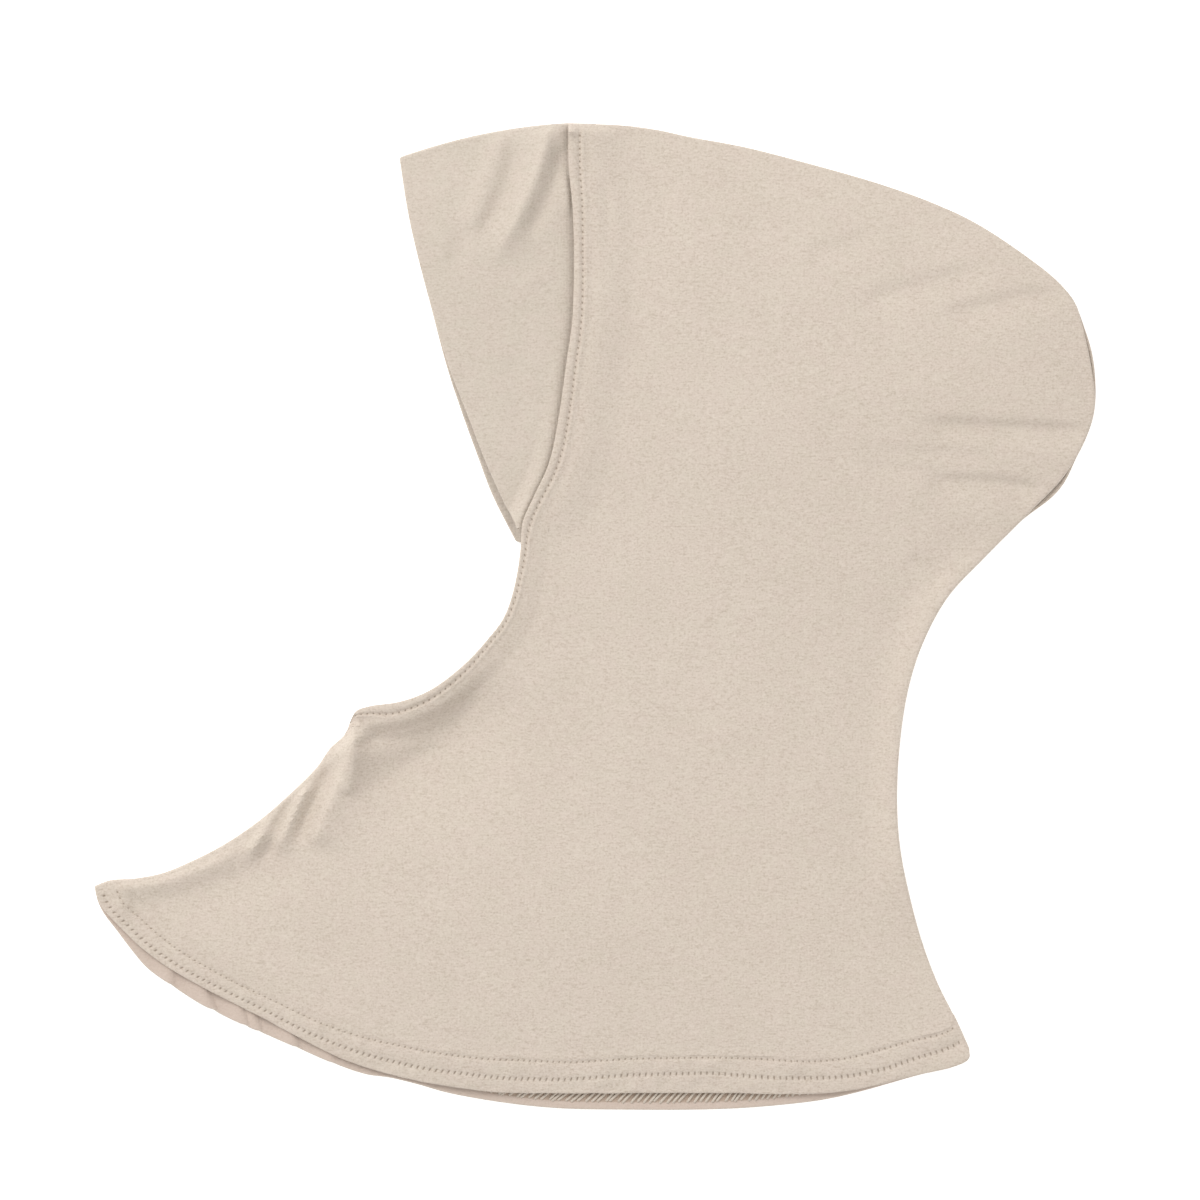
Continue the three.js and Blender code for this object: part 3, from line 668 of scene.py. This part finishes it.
def band_grid(front_places, far):
    """The band's grid on one side of its top fold: rows down it, each from its tucked edge to its front."""
    front = smooth_line(front_places)
    end_share = share_near(face_edge, far_band_end if far else band_end)
    length = reach_along(front)[-1]
    rows = np.concatenate([rim_steps, np.linspace(rim_steps[-1], length, 96)[1:]]) / length
    seam = along(face_edge, rows * end_share)
    tucked = along(face_line(band_tuck, band_tuck), rows * end_share)
    fronts = along(front, rows)
    gaps = np.linalg.norm(fronts - seam, axis=1)[:, None]
    steps = np.concatenate([np.linspace(-band_tuck, 0, 4)[:-1], np.linspace(0, 1, 60) ** 1.15])
    grid, away = [], []
    for place, back, tuck, gap, row in zip(seam, fronts, tucked, gaps, rows):
        over = np.clip(steps, 0, 1)[:, None]
        under = np.clip(-steps / band_tuck, 0, 1)[:, None]
        line = mix(place, back, over)
        line = mix(line, tuck, under)
        bow = 4 * band_top_bow * over[:, 0] * (1 - over[:, 0]) * math.exp(-row * length / 30)
        line[:, 1] += bow
        grid.append(line)
        away.append(over[:, 0] * gap)
    grid, away = np.array(grid), np.array(away)
    held = band_under * np.exp(-away / band_ramp)
    if far:
        curl = 1 - rolled(closed_distance(grid, far_closed_edges), lower_round)
        heights = mix(held, rim_at(grid) / 2, curl)
    else:
        from_front = nearest(spaced(front), grid)[0]
        sag = band_sag * np.exp(-from_front / band_sag_length) * (1 - smooth(grid[..., 1], 45, 150))
        heights = upper_face(grid, under=held + sag * smooth(away, 0, 8), folds=band_folds)
    return raised(grid, heights)


upper_rows = band_grid(band_front_places, False)[::-1]
lower_rows = band_grid(far_band_places, True)[1:]
band = cloth_mesh("forehead_band_cloth", np.concatenate([upper_rows, lower_rows]), band_wall, round_edge=True)
double_jersey = jersey_material("doubled viscose jersey", "#d2c7ba", "#c4b9ab", "#aea191", fleck=0.45)
finish_piece(band, double_jersey, "jersey_double", "forehead_band")

# Hems
# The cloth's own edges turned in and stitched flat. The face hem covers the seam of the forehead
# band and has one row of topstitch; the wide neck hem is sewn with a twin needle, which leaves two
# rows outside and slanting loops between them inside.

hem_wall = 1.25
stitch_pitch = 2.4
# How far the two needle rows are from the edge, at places along x: the edge rolls under at the front
row_places = [-173, -141, -113, -100, -84, -68, -53, -37, -14, 10, 43, 62, 82, 98, 112, 126, 138]
outer_row = [2.7, 3.0, 3.4, 4.5, 5.1, 5.3, 5.9, 5.7, 5.4, 7.0, 7.7, 6.5, 6.1, 5.6, 5.4, 6.6, 7.6]
inner_row = [8.0, 7.4, 8.7, 10.4, 11.6, 12.0, 12.3, 12.8, 11.9, 13.2, 13.6, 13.4, 12.4, 12.4, 12.8,
             13.2, 13.4]
# The topstitch from the face edge, from the crown to the chin: the edge rolls in below the band
topstitch_shares = [0, 0.05, 0.16, 0.45, 0.56, 0.66, 0.76, 0.85, 0.94, 1.0]
topstitch_distances = [4.6, 4.6, 3.5, 4.0, 3.0, 1.7, 1.7, 2.9, 4.2, 2.6]
hole_reach = 0.12  # half width of a needle hole, as a share of a stitch
row_ends, far_row_ends = 2, 7  # stitches left out at each end of a row, on the upper and lower layer


def hem_grid(near_lines, far_lines, steps, face):
    """The outer face of a hem all the way round, its marks, and its rim for cloth_mesh. Marks are the
    stitches along it, up to twice their number on the lower layer, and millimetres in from the edge.
    The lines of a layer are its edge, the line inside it, and the places at each step along the closed
    edges at its two ends."""
    width = steps[0]
    length = reach_along(near_lines[0])[-1]
    stitches = round(length / stitch_pitch)
    beside = np.array([0, hole_reach, 0.5, 1 - hole_reach])
    even = np.append((np.arange(stitches)[:, None] + beside).reshape(-1), stitches) / stitches
    by_end = rim_steps[1:5] / length
    shares = np.unique(np.round(np.concatenate([even, by_end, 1 - by_end]), 6))
    in_share = (steps / width)[None, :, None]

    def strip(edge, inside, start, end):
        places = mix(along(edge, shares)[:, None], along(inside, shares)[:, None], in_share)
        at_start = 1 - smooth(shares * length, 0, width)[:, None, None]
        at_end = 1 - smooth((1 - shares) * length, 0, width)[:, None, None]
        return places + (start - places[0]) * at_start + (end - places[-1]) * at_end

    def marked(stitch):
        return np.stack(np.broadcast_arrays(stitch[:, None], steps[None]), axis=-1)

    upper, lower = strip(*near_lines), strip(*far_lines)[::-1][1:-1]
    marks, lower_marks = marked(shares * stitches), marked((2 - shares[::-1][1:-1]) * stitches)
    outer = np.concatenate([raised(upper, face(upper, marks)), raised(lower, lower_face(lower))])
    layers = (upper, closed_edges, rim_round, 1), (lower, far_closed_edges, lower_round, -1)
    normals, hold = [], []
    for places, edges, radius, up in layers:
        normals.append(panel_rim(places, edges, edges[0], radius, up)[0])
        hold.append(1 - smooth(closed_distance(places, edges), 2, 6))
    hold = np.concatenate(hold)
    rim = np.concatenate(normals), hold, np.full(hold.shape, hem_wall)
    return outer, np.concatenate([marks, lower_marks, marked(np.array([2.0 * stitches]))]), rim


def needle_dents(marks, row, groove, hole, across):
    """The groove that a row of stitches pulls into the cloth, and the dents at its needle holes."""
    gap = marks[..., 1] - row
    beside = np.abs((marks[..., 0] + 0.5) % 1 - 0.5)
    return -groove * bell(gap, 0.8) - hole * bell(gap, across) * bell(beside, hole_reach)


def neck_row_at(row, share):
    return np.interp(along(neck_edge, share)[..., 0], row_places, row)


neck_stitches = round(reach_along(neck_edge)[-1] / stitch_pitch)


def neck_face(places, marks):
    share = marks[:, 0, 0] / neck_stitches
    outer, inner = (neck_row_at(row, share)[:, None] for row in (outer_row, inner_row))
    distance = marks[..., 1]
    puff = 0.15 * np.sin(np.pi * np.clip(distance / outer, 0, 1))
    puff += 0.2 * np.sin(np.pi * np.clip((distance - outer) / (inner - outer), 0, 1))
    rows = needle_dents(marks, outer, 0.1, 0.4, 0.7) + needle_dents(marks, inner, 0.3, 0.25, 0.45)
    between = np.clip(distance / 2, 0, 1) * (1 - smooth(distance, inner, inner + 3))
    return cape_face(places, puff + rows + waves(places, 5, 0.5, 7.5) * between)


def topstitch_at(share):
    return np.interp(share, topstitch_shares, topstitch_distances)


face_stitches = round(reach_along(face_edge)[-1] / stitch_pitch)


def face_hem_face(places, marks):
    row = topstitch_at(marks[..., 0] / face_stitches)
    # The end of the seam makes a lump at the crown, with a dent below it
    lump = 2.4 * bell(np.linalg.norm(places - (crown + (0.8, -2.6)), axis=-1), 2.4)
    lump -= 0.6 * bell(np.linalg.norm(places - (crown + (2.5, -5.8)), axis=-1), 0.5)
    beside = 0.25 * bell(marks[..., 1] - row - 1.1, 0.7)
    return cape_face(places, needle_dents(marks, row, 0.45, 0.35, 0.5) + beside + lump)


# Steps from the edge to the inside line, closest at the stitch rows
neck_steps = np.array([14.5, 14.1, 13.7, 13.3, 12.9, 12.5, 12.1, 11.7, 11.1, 10.4, 9.6, 8.8, 8.2, 7.7,
                       7.2, 6.7, 6.2, 5.7, 5.2, 4.7, 4.1, 3.5, 3.0, 2.5, 1.9, 1.3, 0.9, 0.625])
face_steps = np.array([10.5, 9.8, 9.1, 8.4, 7.7, 7.0, 6.3, 5.7, 5.2, 4.8, 4.4, 4.1, 3.7, 3.3, 2.9, 2.4,
                       2.0, 1.6, 1.2, 0.9, 0.625])


# Marks on the neck hem count from its outer row at 0 to its inner row at row_gap
row_gap = 6.4


def painted_stitch_shade(rows, stitches, looped=False):
    """Painted shade in the needle holes along rows, each given by how far up a mark it is and how long its
    holes are, for a hem's material, and inside the lower neck hem a painted pinkish shade, with deeper
    painted shade between the loops."""
    def draw(add, stained, tone):
        place, up, _ = add("SeparateXYZ", {0: add("UVMap", {}, uv_map="stitch_rows")[0]})
        beside = add("Math", {0: place, 1: 0.5}, operation="PINGPONG")[0]
        from_end = add("Math", {0: place, 1: stitches / 2}, operation="PINGPONG")[0]
        if looped:
            inside = (up, inside_mark - 20, inside_mark - 19), (place, neck_stitches, neck_stitches + 1)
            low, high = inside_mark, inside_mark + row_gap
            # Painted pinkish shade over the inside of the lower neck hem, where the upper layer shades it and
            # warms its light
            tone = stained(tone, "#c4b1a5", 0.6, *inside)
            # Deeper painted shade between the two needle rows, among the loops
            tone = stained(tone, "#a08b77", 0.6, *inside, (up, low - 0.3, low + 0.3), (up, high, high - 0.8))
        for row, hole in rows:
            # Painted shade in each needle hole of the row
            across = (up, row - hole, row - hole / 2), (up, row + hole, row + hole / 2)
            tone = stained(tone, "#7d6c5c", 0.6, *across, (beside, 1.6 * hole_reach, 0.6 * hole_reach),
                           (from_end, row_ends - 0.6, row_ends - 0.4))
        return tone
    return draw


hem_colours = ("#d4c8bb", "#c6baac", "#ae9f8f")
neck_painted_shade = painted_stitch_shade([(0.0, 0.9), (row_gap, 0.5)], neck_stitches, looped=True)
neck_hem_jersey = jersey_material("turned jersey hem, twin-needled", *hem_colours, stitched=neck_painted_shade)
face_painted_shade = painted_stitch_shade([(0.0, 0.4)], face_stitches)
face_hem_jersey = jersey_material("turned jersey hem, topstitched", *hem_colours, stitched=face_painted_shade)

# The lower neck hem was caught nearer its edge, so its needle rows lie lower, but for its front part
far_rows = (2.9, 9.3)
front_row_shift = 4.6


def neck_row(row, far_row):
    """Where a needle row is at a stitch, counted along the upper layer and back along the lower one."""
    def distance(stitch):
        near = neck_row_at(row, np.clip(stitch / neck_stitches, 0, 1))
        from_front = along(far_neck_edge, np.clip(2 - stitch / neck_stitches, 0, 1))[..., 0]
        far = far_row + front_row_shift * (1 - smooth(from_front, -80, -40))
        return np.where(stitch <= neck_stitches, near, far)
    return distance


outer_row_at, inner_row_at = neck_row(outer_row, far_rows[0]), neck_row(inner_row, far_rows[1])


def topstitch(stitch):
    return topstitch_at(1 - np.abs(1 - stitch / face_stitches))


def neck_lines(edge, inside, seam):
    return edge, inside, at_end_distance(front_fold, neck_steps), at_end_distance(seam, neck_steps)


neck_outer, neck_marks, neck_rim = hem_grid(
    neck_lines(neck_edge, neck_inside, back_seam),
    neck_lines(far_neck_edge, far_neck_inside, far_seam), neck_steps, neck_face)
low, high = outer_row_at(neck_marks[..., 0]), inner_row_at(neck_marks[..., 0])
neck_uv = np.stack([neck_marks[..., 0], (neck_marks[..., 1] - low) / (high - low) * row_gap], axis=-1)
neck_hem = cloth_mesh("neck_hem_cloth", neck_outer, hem_wall, True, True, rim=neck_rim, marks=neck_uv)
finish_piece(neck_hem, neck_hem_jersey, "jersey_hem", "neck_hem")

face_lines = (face_edge, face_inside, at_distance(back_seam, face_steps),
              at_distance(front_fold, face_steps * chin_hem_width / face_hem_width))
face_outer, face_marks, face_rim = hem_grid(face_lines, face_lines, face_steps, face_hem_face)
face_uv = np.stack([face_marks[..., 0], face_marks[..., 1] - topstitch(face_marks[..., 0])], axis=-1)
face_hem = cloth_mesh("face_hem_cloth", face_outer, hem_wall, True, True, rim=face_rim, marks=face_uv)
finish_piece(face_hem, face_hem_jersey, "jersey_hem", "face_hem")

# Stitches
# Spun polyester thread in the colour of the cloth: one lockstitched row round the face opening, two
# twin-needle rows round the neck, and inside the neck hem the slanting loops that join those two.


# The real thread is about 0.25 mm thick, drawn at 0.4 mm so that it shows, and the loops are of
# three strands side by side
def thread_shape(name, radius, dips):
    """One stitch of unit length along +x, extruded by hand: it dips into the cloth at its ends."""
    deselect_all()
    bpy.ops.mesh.primitive_circle_add(vertices=6, radius=radius, fill_type="NGON",
                                      rotation=(0, math.pi / 2, 0))
    stitch = bpy.context.object
    stitch.name = name
    bpy.ops.object.transform_apply(location=False, rotation=True, scale=False)
    bpy.ops.object.mode_set(mode="EDIT")
    bpy.ops.mesh.select_all(action="SELECT")
    bpy.ops.transform.translate(value=(0, 0, dips[0]))
    step = 1 / (len(dips) - 1)
    for low, high in zip(dips, dips[1:]):
        bpy.ops.mesh.extrude_region_move(TRANSFORM_OT_translate={"value": (step, 0, high - low)})
    bpy.ops.mesh.select_all(action="SELECT")
    bpy.ops.mesh.normals_make_consistent(inside=False)
    bpy.ops.object.mode_set(mode="OBJECT")
    corners = np.array([v.co for v in stitch.data.vertices])
    faces = [list(face.vertices) for face in stitch.data.polygons]
    bpy.data.objects.remove(stitch)
    return corners, faces


def on_grid(grid, marks, stitch, distance):
    """Places on a hem's grid at stitches along it and distances in from the edge."""
    row = np.interp(stitch, marks[:, 0, 0], np.arange(len(marks)))
    column = np.interp(distance, marks[0, ::-1, 1], np.arange(marks.shape[1])[::-1])
    rows = np.minimum(row.astype(int), len(marks) - 2)
    columns = np.minimum(column.astype(int), marks.shape[1] - 2)
    low, high = (mix(grid[r, columns], grid[r, columns + 1], (column - columns)[:, None])
                 for r in (rows, rows + 1))
    return mix(low, high, (row - rows)[:, None])


def sewn(name, shape, runs):
    """A joined mesh with a copy of one stitch for each start, end and upward step in the runs."""
    starts, ends, ups = (np.concatenate(part) for part in zip(*runs))
    corners, shape_faces = shape
    ahead = ends - starts
    side = np.cross(ups, ahead)
    side /= np.linalg.norm(side, axis=-1, keepdims=True)
    up = np.cross(ahead, side)
    up /= np.linalg.norm(up, axis=-1, keepdims=True)
    steps = np.stack([ahead, side, up], axis=1)
    places = starts[:, None] + corners @ steps
    faces = [[n * len(corners) + c for c in face] for n in range(len(starts)) for face in shape_faces]
    mesh = bpy.data.meshes.new(name)
    mesh.from_pydata((places.reshape(-1, 3) * mm).tolist(), [], faces)
    mesh.shade_smooth()
    return placed(name, mesh)


draw = np.random.default_rng(5)
stitch_start, stitch_reach = 0.06, 0.88  # how far after a needle hole a stitch starts, and its length


def row_run(outer, marks, stitches, lower, start_at, end_at=None, wall=0.0, reach=stitch_reach, uneven=0.0):
    """Starts, ends and upward steps of a row of stitches on one layer of a hem, outside or inside."""
    left_out = far_row_ends if lower else row_ends
    first = np.arange(left_out, stitches - left_out) + (stitches if lower else 0) + stitch_start
    last = first + reach + uneven * draw.uniform(-1, 1, len(first))
    grid = np.concatenate([outer, outer[:1]])
    normal = np.cross(np.gradient(grid, axis=1), np.gradient(grid, axis=0))
    normal /= np.maximum(np.linalg.norm(normal, axis=-1, keepdims=True), 1e-9)
    if normal[..., 2].flat[grid[..., 2].argmax()] < 0:
        normal = -normal
    if wall:
        grid, normal = grid - normal * wall, -normal
    from_edge = start_at(first)
    to_edge = (end_at or start_at)(last) + uneven * draw.uniform(-1, 1, len(first))
    start, end = on_grid(grid, marks, first, from_edge), on_grid(grid, marks, last, to_edge)
    return start, end, on_grid(normal, marks, first + 0.4, (from_edge + to_edge) / 2)


# Spun polyester, three plies twisted together: the eye sees a slightly brighter, satiny line with a
# fine slanting grain. The plies are drawn at about twice their real length.
ply_length = 0.6
thread_paint, add = blank_material("spun polyester sewing thread")
place = add("Mapping", {"Vector": add("TexCoord", {})["Object"], "Scale": [1 / (ply_length * mm)] * 3})[0]
grain = add("TexNoise", {"Vector": place, "Scale": 1.0})["Fac"]
tone = add("Mix", {"Factor": grain, 6: colour("#b9ac9c"), 7: colour("#d8ccbf")}, data_type="RGBA")[2]
bump = add("Bump", {"Height": grain, "Strength": 0.4, "Distance": 0.1 * mm})[0]
satin = {"Base Color": tone, "Roughness": 0.6, "Specular IOR Level": 0.4, "Normal": bump}
add("OutputMaterial", {"Surface": add("BsdfPrincipled", satin)[0]})

stitch_thread = thread_shape("stitch", 0.2, (-0.3, 0.02, 0.12, 0.02, -0.3))
loop_thread = thread_shape("loop", 0.56, (-0.1, 0.25, 0.35, 0.25, -0.1))
loop_lean, loop_uneven = 1.9, 0.35  # stitches from a loop's start to its end, and how much that varies
both_layers = (False, True)
face_topstitch = sewn("face_topstitch", stitch_thread, [
    row_run(face_outer, face_marks, face_stitches, lower, topstitch) for lower in both_layers])
finish_piece(face_topstitch, thread_paint)
needle_rows = sewn("neck_needle_rows", stitch_thread, [
    row_run(neck_outer, neck_marks, neck_stitches, lower, row) for lower in both_layers
    for row in (outer_row_at, inner_row_at)])
finish_piece(needle_rows, thread_paint)
looper_thread = sewn("neck_looper_thread", loop_thread, [
    row_run(neck_outer, neck_marks, neck_stitches, lower, inner_row_at, outer_row_at, hem_wall, loop_lean,
            loop_uneven) for lower in both_layers])
finish_piece(looper_thread, thread_paint)

# Studio
# A near-white table, one broad soft light high on the left, a weaker one on the right, and a camera
# straight above with a long lens.

photo_scale = 0.38 * mm  # one pixel of the 1200 pixel frame on the table
photo_middle = np.array([1.33, 6.08]) * mm
camera_height = 5.0
camera_data = bpy.data.cameras.new("camera")
camera = placed("camera", camera_data)
camera.location = (*photo_middle, camera_height)
camera_data.sensor_width = 36
camera_data.lens = camera_data.sensor_width * camera_height / (1200 * photo_scale)
camera_data.clip_end = 100
bpy.context.scene.camera = camera

bpy.ops.mesh.primitive_plane_add(size=6, location=(0, 0, -0.0003))
table = bpy.context.object
table.name = "table"
table_paint, add = blank_material("white table")
# It glows a little, as a photographer's light table does, which takes the shadows off the ground
white = {"Base Color": colour("#fbfbfb"), "Roughness": 0.7,
         "Emission Color": (1, 1, 1, 1), "Emission Strength": 0.4}
add("OutputMaterial", {"Surface": add("BsdfPrincipled", white)[0]})
table.data.materials.append(table_paint)


def soft_light(name, place, size, watts):
    data = bpy.data.lights.new(name, "AREA")
    data.shape = "SQUARE"
    data.size = size
    data.energy = watts
    light = placed(name, data)
    light.location = place
    light.rotation_euler = (-Vector(place)).to_track_quat("-Z", "Y").to_euler()


soft_light("window light", (-2.7, 2.6, 3.5), 2.4, 136)
soft_light("right fill", (2.6, -0.8, 3.0), 2.6, 14)
world = bpy.data.worlds.new("studio")
world.use_nodes = True
world.node_tree.nodes["Background"].inputs["Color"].default_value = (1, 1, 1, 1)
world.node_tree.nodes["Background"].inputs["Strength"].default_value = 0.81
bpy.context.scene.world = world
bpy.context.scene.view_settings.view_transform = "Standard"
